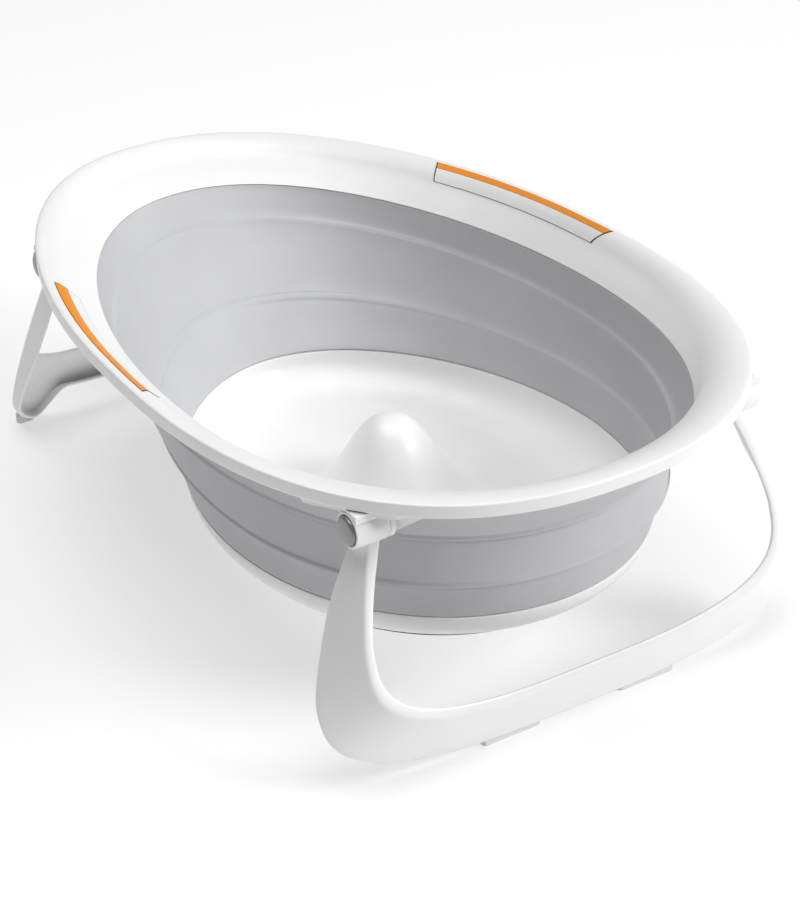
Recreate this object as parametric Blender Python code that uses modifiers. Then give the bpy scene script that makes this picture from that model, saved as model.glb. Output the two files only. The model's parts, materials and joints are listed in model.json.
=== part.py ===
"""Folding baby bathtub: a rigid flared rim, a three-band flexible wall that nests as it collapses, a hard
base with a crotch bump, and a U-shaped leg hinged under the rim at each end.

+X is the foot end, +Z is up, and the tub is symmetric in Y. The origin is on the floor under the middle of
the rim. Lengths are metres.
"""

import math

import bmesh
import bpy
from mathutils import Matrix, Vector

# ---- driving dimensions ----
RIM_HEIGHT = 0.2150          # rim's top edge above the floor at mid length
RIM_HALF_LENGTH = 0.3400
LIP_DEPTH = 0.0108           # height of the rolled outer edge
LIP_WALL = 0.0030
WALL = 0.0022                # thickness of the flexible bands
NEST_GAP = 0.0004            # clearance between one band and the next
TOUCH_GAP = 0.0003           # clearance between pieces that meet
TRAY_WALL = 0.0030
RING_POINTS = 60

# Egg outlines: half length, half width, egg factor, centre in x, height under the rim, roundness, and the
# linear and quadratic rise of the outline towards the foot end.
RIM = (0.3400, 0.2190, 0.176, 0.0000, 0.0000, 2.26, 0.0074, -0.0057)
CREST = (0.3120, 0.1998, 0.174, -0.0042, -0.0115, 2.10, 0.0074, -0.0057)
COLLAR_FOOT = (0.2967, 0.1822, 0.115, 0.0220, -0.0281, 2.07, 0.0100, 0.0030)
FOLD_1 = (0.2722, 0.1817, 0.130, 0.0245, -0.0576, 2.07, 0.0, 0.0)
FOLD_2 = (0.2352, 0.1725, 0.135, 0.0548, -0.1000, 2.05, 0.0, 0.0)
BASE_EDGE = (0.2098, 0.1660, 0.095, 0.0726, -0.1302, 1.98, 0.0, 0.0)
BASE_FOOT = (0.1772, 0.1390, 0.095, 0.0720, -0.1656, 1.98, 0.0, 0.0)

FLOOR_DEPTH = 0.1585         # inside floor below the rim
BUMP_X = 0.0520
BUMP_HEIGHT = 0.0650
BUMP_RADIUS = 0.0410
GRIP_RING_DEPTH = 0.0034

DRAIN_X = 0.1900
DRAIN_RADIUS = 0.0145
PLUG_CAP_RADIUS = 0.0185

HUB_RADIUS = 0.0132
BUTTON_RADIUS = 0.0105
BUTTON_PROUD = 0.0028
BUTTON_LENGTH = 0.0060
POCKET_RADIUS = 0.0109
POCKET_DEPTH = 0.0125
PIN_RADIUS = 0.0047
PIN_HEAD_RADIUS = 0.0073
PIN_BORE_RADIUS = 0.0050
LUG_WALL = 0.0040
PLATE_SIZE = (0.0740, 0.0190, 0.0040)
SCREW_SPACING = 0.0560
SCREW_HEAD_RADIUS = 0.0037
SCREW_OFFSET = 0.0014        # screws from the plate's centre line towards the lip
SCREW_SHANK_RADIUS = 0.0018

# Each leg is a U-shaped channel: a front plate with a flange round its outer edge. Four outlines give its
# plate's inner and outer edges and its flange's back edge, outside and inside: half width at the top, widest
# half width, depth of the widest point, bottom, corner, sweep, and the arch under the middle of the bar.
# Then the end of the tub, the pivot's x and depth, splay from vertical in degrees, the hub's outer face from
# the middle, its length, front to back at the hub, lower down and at the foot, the foot's depth, its pads'
# distances out from the flange's edge and from the middle, and their size.
LEGS = {
    "front": {
        "inner_front": (0.1480, 0.1720, 0.088, 0.1500, 3.1, 1.4, 0.0),
        "outer_front": (0.1590, 0.1805, 0.092, 0.1590, 3.1, 1.4, 0.0),
        "outer_back": (0.1610, 0.2090, 0.118, 0.1900, 3.0, 1.2, 0.0),
        "inner_back": (0.1500, 0.1860, 0.112, 0.1830, 3.0, 1.6, 0.0),
        "end": 1,
        "x": 0.2625,
        "depth": 0.0245,
        "splay": 20.0,
        "face": 0.1725,
        "hub": 0.0265,
        "deep": (0.0150, 0.0280, 0.0280),
        "foot": 0.1900,
        "pads": (-0.0050, 0.0600),
        "pad_size": (0.0080, 0.0500, 0.0060),
    },
    "rear": {
        "inner_front": (0.1437, 0.1510, 0.100, 0.1280, 3.4, 1.6, 0.0),
        "outer_front": (0.1500, 0.1625, 0.150, 0.2090, 4.4, 1.6, 0.0320),
        "outer_back": (0.1505, 0.1645, 0.140, 0.2062, 4.4, 1.6, 0.0460),
        "inner_back": (0.1437, 0.1530, 0.100, 0.1240, 3.4, 1.6, 0.0),
        "end": -1,
        "x": -0.2130,
        "depth": 0.0318,
        "splay": 24.5,
        "face": 0.1597,
        "hub": 0.0165,
        "deep": (0.0150, 0.0200, 0.0090),
        "foot": 0.1955,
        "pads": (0.0047, 0.1490),
        "pad_size": (0.0080, 0.0150, 0.0075),
    },
}
LEG_DEPTH_AT = 0.0550        # depth where a leg reaches its full size front to back
LEG_TAPER_AT = 0.1000        # depth where it starts to change towards its size at the foot
LEG_FRONT = 0.0030           # front face, out from the pivot
LEG_TOP = 0.0070             # where the arm starts, down from the pivot
LEG_WALL = 0.0036
ARCH_FROM = 0.1200           # half width where the arch under the bar starts to fall
ARCH_TO = 0.1430
ARM_STATIONS = [i / 6 for i in range(6)]
BAR_STATIONS = [1 + i / 11 for i in range(12)]

COLOURS = {
    "white_gloss_plastic": ((0.90, 0.90, 0.89), 0.25, 0.0),
    "gray_soft_rubber": ((0.50, 0.51, 0.53), 0.60, 0.0),
    "dark_gray_rubber": ((0.12, 0.12, 0.13), 0.70, 0.0),
    "silver_button": ((0.42, 0.42, 0.42), 0.40, 0.3),
    "steel": ((0.60, 0.60, 0.62), 0.30, 1.0),
}


# ---- scene and materials ----
def fresh_scene():
    for obj in list(bpy.data.objects):
        bpy.data.objects.remove(obj, do_unlink=True)
    parts = bpy.data.collections.new("baby_bathtub")
    cutters = bpy.data.collections.new("cutters")
    for collection in (parts, cutters):
        bpy.context.scene.collection.children.link(collection)
    cutters.hide_render = True
    return parts, cutters


def make_materials():
    made = {}
    for name, (colour, roughness, metallic) in COLOURS.items():
        material = bpy.data.materials.new(name)
        material.use_nodes = True
        shader = material.node_tree.nodes["Principled BSDF"]
        shader.inputs["Base Color"].default_value = (*colour, 1)
        shader.inputs["Roughness"].default_value = roughness
        shader.inputs["Metallic"].default_value = metallic
        made[name] = material
    return made


PARTS, CUTTERS = fresh_scene()
MATERIALS = make_materials()


def add_object(name, mesh, material=None):
    obj = bpy.data.objects.new(name, mesh)
    if material is None:
        obj.hide_render = True
        obj.display_type = "WIRE"
        CUTTERS.objects.link(obj)
    else:
        mesh.materials.append(MATERIALS[material])
        PARTS.objects.link(obj)
    return obj


def mesh_of(shape, name):
    """The bmesh as a mesh with its faces pointing out and its round sides smooth."""
    bmesh.ops.recalc_face_normals(shape, faces=shape.faces)
    mesh = bpy.data.meshes.new(name)
    shape.to_mesh(mesh)
    shape.free()
    mesh.shade_smooth()
    mesh.set_sharp_from_angle(angle=math.radians(35))
    return mesh


def boolean(obj, other, operation):
    modifier = obj.modifiers.new(operation.lower() + "_" + other.name, "BOOLEAN")
    modifier.operation = operation
    modifier.solver = "EXACT"
    modifier.object = other


# ---- outlines ----
def power(value, exponent):
    return math.copysign(abs(value) ** exponent, value)


def rise(section, x):
    share = x / RIM_HALF_LENGTH
    return section[6] * share + section[7] * share**2


def egg_point(section, angle):
    half_length, half_width, egg, centre, height, roundness = section[:6]
    x = centre + half_length * power(math.cos(angle), 2 / roundness)
    y = half_width * power(math.sin(angle), 2 / roundness) * (1 + egg * math.cos(angle))
    return Vector((x, y, RIM_HEIGHT + height + rise(section, x)))


def grown(section, grow, height=None):
    at = section[4] if height is None else height
    return (section[0] + grow, section[1] + grow, *section[2:4], at, *section[5:])


def between(first, second, share, height=None):
    values = [a + (b - a) * share for a, b in zip(first, second)]
    if height is not None:
        values[4] = height
    return tuple(values)


def ring(shape, section, count=RING_POINTS):
    return [shape.verts.new(egg_point(section, 2 * math.pi * i / count)) for i in range(count)]


def join_rings(shape, first, second):
    count = len(first)
    for i in range(count):
        j = (i + 1) % count
        shape.faces.new((first[i], first[j], second[j], second[i]))


def hoop(name, sections, material=None):
    """A closed band: a loft through egg outlines and back to the first."""
    shape = bmesh.new()
    rings = [ring(shape, section) for section in sections]
    for first, second in zip(rings, rings[1:] + rings[:1]):
        join_rings(shape, first, second)
    return add_object(name, mesh_of(shape, name), material)


# ---- primitives ----
def cylinder_mesh(name, radius, length, segments=32, bevel=0.0):
    """A cylinder along +Y from y = 0."""
    shape = bmesh.new()
    turn = Matrix.Translation((0, length / 2, 0)) @ Matrix.Rotation(-math.pi / 2, 4, "X")
    bmesh.ops.create_cone(
        shape, cap_ends=True, segments=segments, radius1=radius, radius2=radius, depth=length, matrix=turn
    )
    if bevel:
        rims = [edge for edge in shape.edges if abs(edge.verts[0].co.y - edge.verts[1].co.y) < length / 4]
        bmesh.ops.bevel(shape, geom=rims, offset=bevel, segments=2, profile=0.5, affect="EDGES")
    return mesh_of(shape, name)


def cylinder(name, radius, start, length, side, material=None, segments=32, bevel=0.0):
    """A cylinder along Y that starts at the point start and runs to side * length."""
    mesh = cylinder_mesh(name, radius, length, segments, bevel)
    obj = add_object(name, mesh, material)
    obj.location = start
    if side < 0:
        obj.rotation_euler = (0, 0, math.pi)
    return obj


def box_mesh(name, size, bevel=0.0, upright_only=False):
    shape = bmesh.new()
    bmesh.ops.create_cube(shape, size=1, matrix=Matrix.Diagonal((*size, 1)))
    if bevel:
        edges = shape.edges[:]
        if upright_only:
            edges = [edge for edge in edges if abs(edge.verts[0].co.z - edge.verts[1].co.z) > size[2] / 2]
        bmesh.ops.bevel(shape, geom=edges, offset=bevel, segments=3, profile=0.5, affect="EDGES")
    return mesh_of(shape, name)


# ---- rim and wall ----
def rim_half_width(x):
    half_length, half_width, egg = RIM[:3]
    angle = math.acos(power(x / half_length, RIM[5] / 2))
    return half_width * math.sin(angle) ** (2 / RIM[5]) * (1 + egg * math.cos(angle))


def rim_heading(x):
    """Angle from +X of the rim's edge at x, on the +Y side."""
    step = 0.004
    return math.atan2(rim_half_width(x + step) - rim_half_width(x - step), 2 * step)


def rim_slope(x):
    step = 0.004
    return (rise(RIM, x + step) - rise(RIM, x - step)) / (2 * step)


RIM_TOP = [
    grown(RIM, 0, -LIP_DEPTH),
    grown(RIM, 0, -0.0032),
    grown(RIM, -0.0010, -0.0010),
    grown(RIM, -0.0032, 0.0),
    between(RIM, CREST, 0.40, -0.0016),
    between(RIM, CREST, 0.72, -0.0056),
    CREST,
    between(CREST, COLLAR_FOOT, 0.55, -0.0195),
    COLLAR_FOOT,
]


def rim_underside(clear):
    """The rim's lower faces from the collar's foot out to the lip, moved away by clear."""
    return [
        grown(COLLAR_FOOT, LIP_WALL + clear, COLLAR_FOOT[4] - clear),
        grown(between(CREST, COLLAR_FOOT, 0.55), LIP_WALL + clear, -0.0208 - clear),
        grown(CREST, 0.0015 + clear, -0.0146 - clear),
        between(RIM, CREST, 0.60, -0.0075 - clear),
        grown(RIM, -LIP_WALL - 0.001 - clear, -0.0036 - clear),
        grown(RIM, -LIP_WALL - clear, -LIP_DEPTH - clear),
    ]


def make_rim():
    return hoop("rim_collar", RIM_TOP + rim_underside(0.0), "white_gloss_plastic")


def make_band(name, upper, lower):
    """One rigid stretch of the wall between two outer outlines."""
    middle = between(upper, lower, 0.5)
    outside = [upper, middle, lower]
    inside = [grown(section, -WALL) for section in reversed(outside)]
    return hoop(name, outside + inside, "gray_soft_rubber")


def make_walls():
    step = WALL + NEST_GAP
    make_band("wall_upper_band", grown(COLLAR_FOOT, WALL, COLLAR_FOOT[4] - TOUCH_GAP), FOLD_1)
    make_band("wall_middle_band", grown(FOLD_1, -step, FOLD_1[4] - TOUCH_GAP), FOLD_2)
    make_band("wall_lower_band", grown(FOLD_2, -step, FOLD_2[4] - TOUCH_GAP), BASE_EDGE)


# ---- base ----
def bump_rise(radius):
    return BUMP_HEIGHT * math.exp(-((radius / BUMP_RADIUS) ** 3))


def floor_rings(underneath):
    """Outlines of the inside floor from its flat edge in to the bump's centre, top or underside."""
    drop = -TRAY_WALL if underneath else 0.0
    flat_edge = grown(BASE_FOOT, -0.0110, -FLOOR_DEPTH + drop)
    centre = (0.0, 0.0, 0.0, BUMP_X, -FLOOR_DEPTH + drop, 2.0, 0.0, 0.0)
    rings = [flat_edge, between(flat_edge, centre, 0.35)]
    radii = (0.064, 0.050, 0.038, 0.022) if underneath else (0.064, 0.054, 0.046, 0.038, 0.028, 0.014)
    for radius in radii:
        inner = radius + 0.5 * drop
        height = -FLOOR_DEPTH + drop + bump_rise(radius)
        rings.append((inner, inner, 0.0, BUMP_X, height, 2.0, 0.0, 0.0))
    apex = Vector((BUMP_X, 0, RIM_HEIGHT - FLOOR_DEPTH + drop + BUMP_HEIGHT))
    return rings, apex


def make_tray():
    edge_height = BASE_EDGE[4] - TOUCH_GAP
    outside = [
        grown(BASE_EDGE, 0, edge_height),
        grown(BASE_EDGE, -0.0020, -0.1420),
        between(BASE_EDGE, BASE_FOOT, 0.42, -0.1545),
        between(BASE_EDGE, BASE_FOOT, 0.74, -0.1625),
        BASE_FOOT,
        grown(BASE_FOOT, -0.0080),
        grown(BASE_FOOT, -0.0100, -FLOOR_DEPTH - TRAY_WALL),
    ]
    inside = [
        grown(BASE_EDGE, -TRAY_WALL, edge_height),
        grown(BASE_EDGE, -0.0020 - TRAY_WALL, -0.1400),
        grown(between(BASE_EDGE, BASE_FOOT, 0.42), -TRAY_WALL, -0.1505),
        grown(between(BASE_EDGE, BASE_FOOT, 0.74), -TRAY_WALL, -0.1566),
    ]
    floor_top, apex_top = floor_rings(underneath=False)
    floor_under, apex_under = floor_rings(underneath=True)
    shape = bmesh.new()
    above = [ring(shape, section) for section in reversed(inside + floor_top)]
    below = [ring(shape, section) for section in outside + floor_under[1:]]
    rings = above + below
    for first, second in zip(rings, rings[1:]):
        join_rings(shape, first, second)
    for edge_ring, apex in ((rings[0], apex_top), (rings[-1], apex_under)):
        tip = shape.verts.new(apex)
        count = len(edge_ring)
        for i in range(count):
            shape.faces.new((edge_ring[i], edge_ring[(i + 1) % count], tip))
    tray = add_object("base_tray", mesh_of(shape, "base_tray"), "white_gloss_plastic")
    hole = add_object("drain_hole", upright_cylinder_mesh("drain_hole", DRAIN_RADIUS, 0.020, 30))
    hole.location = (DRAIN_X, 0, RIM_HEIGHT - FLOOR_DEPTH - TRAY_WALL / 2)
    boolean(tray, hole, "DIFFERENCE")


def upright_cylinder_mesh(name, radius, length, segments):
    shape = bmesh.new()
    bmesh.ops.create_cone(
        shape, cap_ends=True, segments=segments, radius1=radius, radius2=radius, depth=length
    )
    return mesh_of(shape, name)


def turned(name, profile, location, material, segments):
    """A solid turned about Z from (radius, height) points that run down its outer side."""
    shape = bmesh.new()
    verts = [shape.verts.new((radius, 0, height)) for radius, height in profile]
    for first, second in zip(verts, verts[1:]):
        shape.edges.new((first, second))
    mesh = bpy.data.meshes.new(name)
    shape.to_mesh(mesh)
    shape.free()
    obj = add_object(name, mesh, material)
    obj.location = location
    screw = obj.modifiers.new("turn", "SCREW")
    screw.steps = segments
    screw.render_steps = segments
    screw.use_merge_vertices = True
    screw.merge_threshold = 1e-5
    screw.use_smooth_shade = True
    return obj


def make_base_fittings():
    top = -0.1656 - TOUCH_GAP
    bottom = top - GRIP_RING_DEPTH
    grip = [
        grown(BASE_FOOT, -0.0012, top),
        grown(BASE_FOOT, -0.0016, bottom),
        grown(BASE_FOOT, -0.0072, bottom),
        grown(BASE_FOOT, -0.0076, top),
    ]
    hoop("base_grip_ring", grip, "dark_gray_rubber")
    stem = DRAIN_RADIUS - 0.0005
    plug = [
        (0.0, 0.0075),
        (0.0052, 0.0072),
        (0.0060, 0.0060),
        (0.0052, 0.0042),
        (0.0060, 0.0034),
        (PLUG_CAP_RADIUS - 0.0010, 0.0030),
        (PLUG_CAP_RADIUS, 0.0018),
        (PLUG_CAP_RADIUS, TOUCH_GAP),
        (stem, TOUCH_GAP),
        (stem, -0.0045),
        (stem - 0.0015, -0.0060),
        (0.0, -0.0060),
    ]
    turned("drain_plug", plug, (DRAIN_X, 0, RIM_HEIGHT - FLOOR_DEPTH), "gray_soft_rubber", 30)


# ---- legs ----
def leg_frame(leg):
    """World directions of the leg: down its plane, and out of its front face."""
    splay = math.radians(leg["splay"])
    down = Vector((leg["end"] * math.sin(splay), 0, -math.cos(splay)))
    front = Vector((leg["end"] * math.cos(splay), 0, math.sin(splay)))
    return down, front


def pivot_of(leg, y=0.0):
    return Vector((leg["x"], y, RIM_HEIGHT - leg["depth"]))


def outline_point(outline, station, grow=0.0):
    """(half width, depth) of a leg outline: station runs 0 to 1 down the arm, then to 2 at mid bar."""
    top_width, width, widest, bottom, corner, sweep, arch = outline
    top_width += grow
    width += grow
    bottom += grow
    if station <= 1:
        depth = LEG_TOP + (widest - LEG_TOP) * station
        return width - (width - top_width) * (1 - station) ** sweep, depth
    turn = (station - 1) * math.pi / 2
    half = width * math.cos(turn) ** (2 / corner)
    share = min(1.0, max(0.0, (ARCH_TO - half) / (ARCH_TO - ARCH_FROM)))
    lift = arch * share**2 * (3 - 2 * share)
    return half, widest + (bottom - widest) * math.sin(turn) ** (2 / corner) - lift


def back_offset(leg, depth):
    top, full, foot = leg["deep"]
    share = min(1.0, max(0.0, (depth - LEG_TOP) / (LEG_DEPTH_AT - LEG_TOP)))
    taper = min(1.0, max(0.0, (depth - LEG_TAPER_AT) / (leg["foot"] - LEG_TAPER_AT)))
    return top + (full - top) * share + (foot - full) * taper


def leg_section(leg, station, side, grow=0.0, hollow=True):
    """The leg's closed cross section at a station, as points from the pivot."""
    down, front = leg_frame(leg)
    start = LEG_FRONT + grow

    def place(outline, out, share=0.0, second=None, inset=0.0, behind=0.0):
        wide = {"inner_front": -grow, "inner_back": -grow, "outer_front": 2 * grow, "outer_back": 2.5 * grow}
        half, depth = outline_point(leg[outline], station, wide[outline] - inset)
        if second:
            other_half, other_depth = outline_point(leg[second], station, wide[second] - inset)
            half += (other_half - half) * share
            depth += (other_depth - depth) * share
        offset = start - out * (back_offset(leg, depth) + start + grow) - behind
        return Vector((0, side * half, 0)) + down * depth + front * offset

    corners = [
        place("inner_front", 0.08),
        place("inner_front", 0.0, 0.25, "outer_front"),
        place("inner_front", 0.0, 0.75, "outer_front"),
        place("outer_front", 0.10),
        place("outer_front", 0.50, 0.45, "outer_back"),
        place("outer_back", 0.97),
    ]
    if hollow:
        return corners + [
            place("outer_back", 1.0, inset=LEG_WALL * 0.3),
            place("outer_back", 1.0, inset=LEG_WALL),
            place("outer_front", 0.50, 0.45, "outer_back", inset=LEG_WALL),
            place("outer_front", 0.0, inset=LEG_WALL, behind=LEG_WALL),
            place("inner_front", 0.0, behind=LEG_WALL),
        ]
    return corners + [
        place("outer_back", 1.0, 0.25, "inner_back"),
        place("inner_back", 1.0),
        place("inner_front", 0.55, 0.50, "inner_back"),
    ]


def leg_loft(name, leg, stations, material=None, grow=0.0, hollow=True):
    """The U from one arm through the cross bar to the other, with its origin on the hinge's axis."""
    walk = [(station, 1) for station in stations]
    walk += [(station, -1) for station in reversed(stations[:-1])]
    shape = bmesh.new()
    rings = []
    for station, side in walk:
        rings.append([shape.verts.new(corner) for corner in leg_section(leg, station, side, grow, hollow)])
    for first, second in zip(rings, rings[1:]):
        join_rings(shape, first, second)
    shape.faces.new(rings[0])
    shape.faces.new(rings[-1])
    obj = add_object(name, mesh_of(shape, name), material)
    obj.location = pivot_of(leg)
    return obj


def make_leg(label, leg):
    frame = leg_loft(label + "_leg", leg, ARM_STATIONS + BAR_STATIONS, "white_gloss_plastic")
    inner = leg["face"] - leg["hub"]
    for side in (1, -1):
        tag = f"{label}_{side_name(side)}"
        hub = cylinder("hub_" + tag, HUB_RADIUS, pivot_of(leg, side * inner), leg["hub"], side)
        boolean(frame, hub, "UNION")
    for side in (1, -1):
        tag = f"{label}_{side_name(side)}"
        pocket_at = pivot_of(leg, side * (leg["face"] - POCKET_DEPTH))
        pocket = cylinder("pocket_" + tag, POCKET_RADIUS, pocket_at, 0.030, side, segments=28)
        bore_at = pivot_of(leg, side * (inner - 0.010))
        bore = cylinder("bore_" + tag, PIN_BORE_RADIUS, bore_at, 0.040, side, segments=20)
        boolean(frame, pocket, "DIFFERENCE")
        boolean(frame, bore, "DIFFERENCE")
    return frame


def side_name(side):
    return "left" if side > 0 else "right"


def make_foot_pads(label, leg, frame):
    """Non-slip blocks under the flange's lower edge near each corner, flat on the floor."""
    down, front = leg_frame(leg)
    edge = down * leg["foot"] - front * (leg["deep"][2] - 0.0010)
    room = leg_loft("pad_room_" + label, leg, BAR_STATIONS, None, 2 * TOUCH_GAP, hollow=False)
    for side in (1, -1):
        name = f"{label}_foot_pad_{side_name(side)}"
        pad = add_object(name, box_mesh(name, leg["pad_size"], 0.0030, True), "dark_gray_rubber")
        floor = leg["depth"] - RIM_HEIGHT + leg["pad_size"][2] / 2
        pad.parent = frame
        out, offset = leg["pads"]
        pad.location = (edge.x + leg["end"] * out, side * offset, floor)
        boolean(pad, room, "DIFFERENCE")


# ---- hubs: buttons, lock gears, springs, pins ----
def gear_mesh(name, outer, inner, thickness, teeth):
    shape = bmesh.new()
    count = teeth * 4
    rim = []
    for i in range(count):
        radius = outer if i % 4 in (0, 1) else inner
        angle = 2 * math.pi * (i + 0.5) / count
        rim.append(shape.verts.new((radius * math.cos(angle), 0, radius * math.sin(angle))))
    face = shape.faces.new(rim)
    grown_faces = bmesh.ops.extrude_face_region(shape, geom=[face])
    moved = [item for item in grown_faces["geom"] if isinstance(item, bmesh.types.BMVert)]
    bmesh.ops.translate(shape, verts=moved, vec=(0, thickness, 0))
    return mesh_of(shape, name)


def make_spring(name, start, side, radius, wire, length, turns):
    curve = bpy.data.curves.new(name, "CURVE")
    curve.dimensions = "3D"
    curve.bevel_depth = wire / 2
    curve.bevel_resolution = 1
    curve.use_fill_caps = True
    spline = curve.splines.new("POLY")
    per_turn = 10
    count = turns * per_turn + 1
    spline.points.add(count - 1)
    for i in range(count):
        angle = 2 * math.pi * i / per_turn
        rise = wire / 2 + (length - wire) * i / (count - 1)
        place = (radius * math.cos(angle), rise, radius * math.sin(angle), 1)
        spline.points[i].co = place
    obj = add_object(name, curve, "steel")
    obj.location = start
    if side < 0:
        obj.rotation_euler = (0, 0, math.pi)
    return obj


def make_hub(label, leg):
    face = leg["face"]
    for side in (1, -1):
        tag = f"{label}_{side_name(side)}"
        button_back = face + BUTTON_PROUD - BUTTON_LENGTH
        cylinder(
            "release_button_" + tag,
            BUTTON_RADIUS,
            pivot_of(leg, side * button_back),
            BUTTON_LENGTH,
            side,
            "silver_button",
            segments=28,
            bevel=0.0008,
        )
        gear_back = button_back - TOUCH_GAP - 0.0028
        gear = add_object(
            "lock_gear_" + tag, gear_mesh("lock_gear_" + tag, 0.0100, 0.0084, 0.0028, 8), "steel"
        )
        gear.location = pivot_of(leg, side * gear_back)
        if side < 0:
            gear.rotation_euler = (0, 0, math.pi)
        pocket_floor = face - POCKET_DEPTH
        room = gear_back - pocket_floor - 2 * TOUCH_GAP
        spring_at = pivot_of(leg, side * (pocket_floor + TOUCH_GAP))
        make_spring("button_spring_" + tag, spring_at, side, 0.0076, 0.0009, room, 3)
        lug_inner = face - leg["hub"] - TOUCH_GAP - LUG_WALL
        make_pin("pivot_pin_" + tag, leg, side, lug_inner, pocket_floor + 0.0008)


def make_pin(name, leg, side, lug_inner, end):
    head = 0.0022
    start = pivot_of(leg, side * (lug_inner - TOUCH_GAP))
    pin = cylinder(name, PIN_RADIUS, start, end - lug_inner + TOUCH_GAP, side, "steel", segments=20)
    cap_at = pivot_of(leg, side * (lug_inner - TOUCH_GAP + 0.0001))
    cap = cylinder("head_" + name, PIN_HEAD_RADIUS, cap_at, head, -side, segments=20)
    boolean(pin, cap, "UNION")


# ---- brackets ----
def plate_matrix(leg, side):
    """Frame of the bracket plate's top face: x along the rim's edge, z square to the rim."""
    x = leg["x"]
    heading = side * rim_heading(x)
    slope = rim_slope(x)
    along = Vector((math.cos(heading), math.sin(heading), slope * math.cos(heading))).normalized()
    normal = Vector((-slope, 0, 1)).normalized()
    across = normal.cross(along)
    inward = -side * (PLATE_SIZE[1] / 2 + LIP_WALL + 0.0010)
    height = RIM_HEIGHT - LIP_DEPTH + 0.0002 + rise(RIM, x)
    edge = Vector((x, side * rim_half_width(x), height))
    axes = Matrix((along, across, normal)).transposed().to_4x4()
    return Matrix.Translation(edge + across * inward) @ axes


def placed(name, mesh, matrix, material=None):
    obj = add_object(name, mesh, material)
    obj.matrix_world = matrix
    return obj


def make_bracket(label, leg, side, rim, rim_room, boss_zone):
    tag = f"{label}_{side_name(side)}"
    length, width, thick = PLATE_SIZE
    frame = plate_matrix(leg, side)
    top = frame.translation.z
    name = "hinge_bracket_" + tag
    at_plate = frame @ Matrix.Translation((0, 0, -thick / 2))
    plate = placed(name, box_mesh(name, PLATE_SIZE, 0.0085, True), at_plate, "white_gloss_plastic")

    lug_inner = leg["face"] - leg["hub"] - TOUCH_GAP - LUG_WALL
    axis_height = RIM_HEIGHT - leg["depth"]
    lug = cylinder("lug_" + tag, HUB_RADIUS - 0.0004, pivot_of(leg, side * lug_inner), LUG_WALL, side)
    boolean(plate, lug, "UNION")
    neck_height = top - 0.0006 - axis_height
    neck = add_object("neck_" + tag, box_mesh("neck_" + tag, (0.0210, LUG_WALL - 0.0002, neck_height)))
    neck.location = (leg["x"], side * (lug_inner + LUG_WALL / 2), axis_height + neck_height / 2)
    boolean(plate, neck, "UNION")
    saddle_bottom = axis_height + 0.0090
    saddle_length = leg["face"] - 0.0008 - lug_inner
    saddle_size = (0.0206, saddle_length, top - 0.0011 - saddle_bottom)
    saddle = add_object("saddle_" + tag, box_mesh("saddle_" + tag, saddle_size))
    saddle.location = (
        leg["x"],
        side * (lug_inner + 0.0004 + saddle_length / 2),
        saddle_bottom + saddle_size[2] / 2,
    )
    boolean(plate, saddle, "UNION")
    gusset = add_object("gusset_" + tag, gusset_mesh("gusset_" + tag))
    gusset.location = (leg["x"], side * (lug_inner + LUG_WALL / 2), top - thick / 2)
    gusset.rotation_euler = (0, 0, side * rim_heading(leg["x"]) + (0 if leg["end"] > 0 else math.pi))
    boolean(plate, gusset, "UNION")

    hub_room = cylinder(
        "hub_room_" + tag,
        HUB_RADIUS + 0.0006,
        pivot_of(leg, side * (leg["face"] - leg["hub"] - TOUCH_GAP + 0.00005)),
        0.060,
        side,
        segments=32,
    )
    boolean(plate, hub_room, "DIFFERENCE")
    bore_at = pivot_of(leg, side * (lug_inner - 0.010))
    bore = cylinder("lug_bore_" + tag, PIN_BORE_RADIUS, bore_at, 0.030, side, segments=20)
    boolean(plate, bore, "DIFFERENCE")
    head_at = pivot_of(leg, side * (lug_inner + 0.00005))
    head_room = cylinder("head_room_" + tag, PIN_HEAD_RADIUS + 0.0005, head_at, 0.0120, -side, segments=20)
    boolean(plate, head_room, "DIFFERENCE")
    boolean(plate, rim_room, "DIFFERENCE")

    boss_mesh = box_mesh("boss_" + tag, (length - 0.006, width, 0.030), 0.0075, True)
    boss = placed("boss_" + tag, boss_mesh, frame)
    boolean(boss, boss_zone, "INTERSECT")
    boolean(rim, boss, "UNION")
    for index, way in enumerate((-1, 1)):
        screw_tag = f"{tag}_{index + 1}"
        place = frame @ Matrix.Translation((way * SCREW_SPACING / 2, side * SCREW_OFFSET, 0))
        hole_shape = upright_cylinder_mesh("hole_" + screw_tag, SCREW_SHANK_RADIUS + 0.0003, 0.0140, 12)
        hole = placed("hole_" + screw_tag, hole_shape, place @ Matrix.Translation((0, 0, -0.0035)))
        boolean(plate, hole, "DIFFERENCE")
        boolean(rim, hole, "DIFFERENCE")
        head = 0.0020
        profile = [
            (0.0, 0.0030),
            (SCREW_SHANK_RADIUS, 0.0030),
            (SCREW_SHANK_RADIUS, -thick - TOUCH_GAP),
            (SCREW_HEAD_RADIUS, -thick - TOUCH_GAP),
            (SCREW_HEAD_RADIUS, -thick - head * 0.6),
            (SCREW_HEAD_RADIUS * 0.7, -thick - head),
            (0.0, -thick - head),
        ]
        screw = turned("bracket_screw_" + screw_tag, profile, (0, 0, 0), "steel", 12)
        screw.matrix_world = place


def gusset_mesh(name):
    """A triangular rib: full height at the lug, tapering to nothing along +X under the plate."""
    long, tall, thick = 0.0340, 0.0235, 0.0036
    shape = bmesh.new()
    outline = [(0, 0), (long, 0), (long, -0.0035), (0.0060, -tall), (0, -tall)]
    front = [shape.verts.new((x, -thick / 2, z)) for x, z in outline]
    back = [shape.verts.new((x, thick / 2, z)) for x, z in outline]
    shape.faces.new(front)
    shape.faces.new(list(reversed(back)))
    join_rings(shape, front, back)
    return mesh_of(shape, name)


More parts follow.
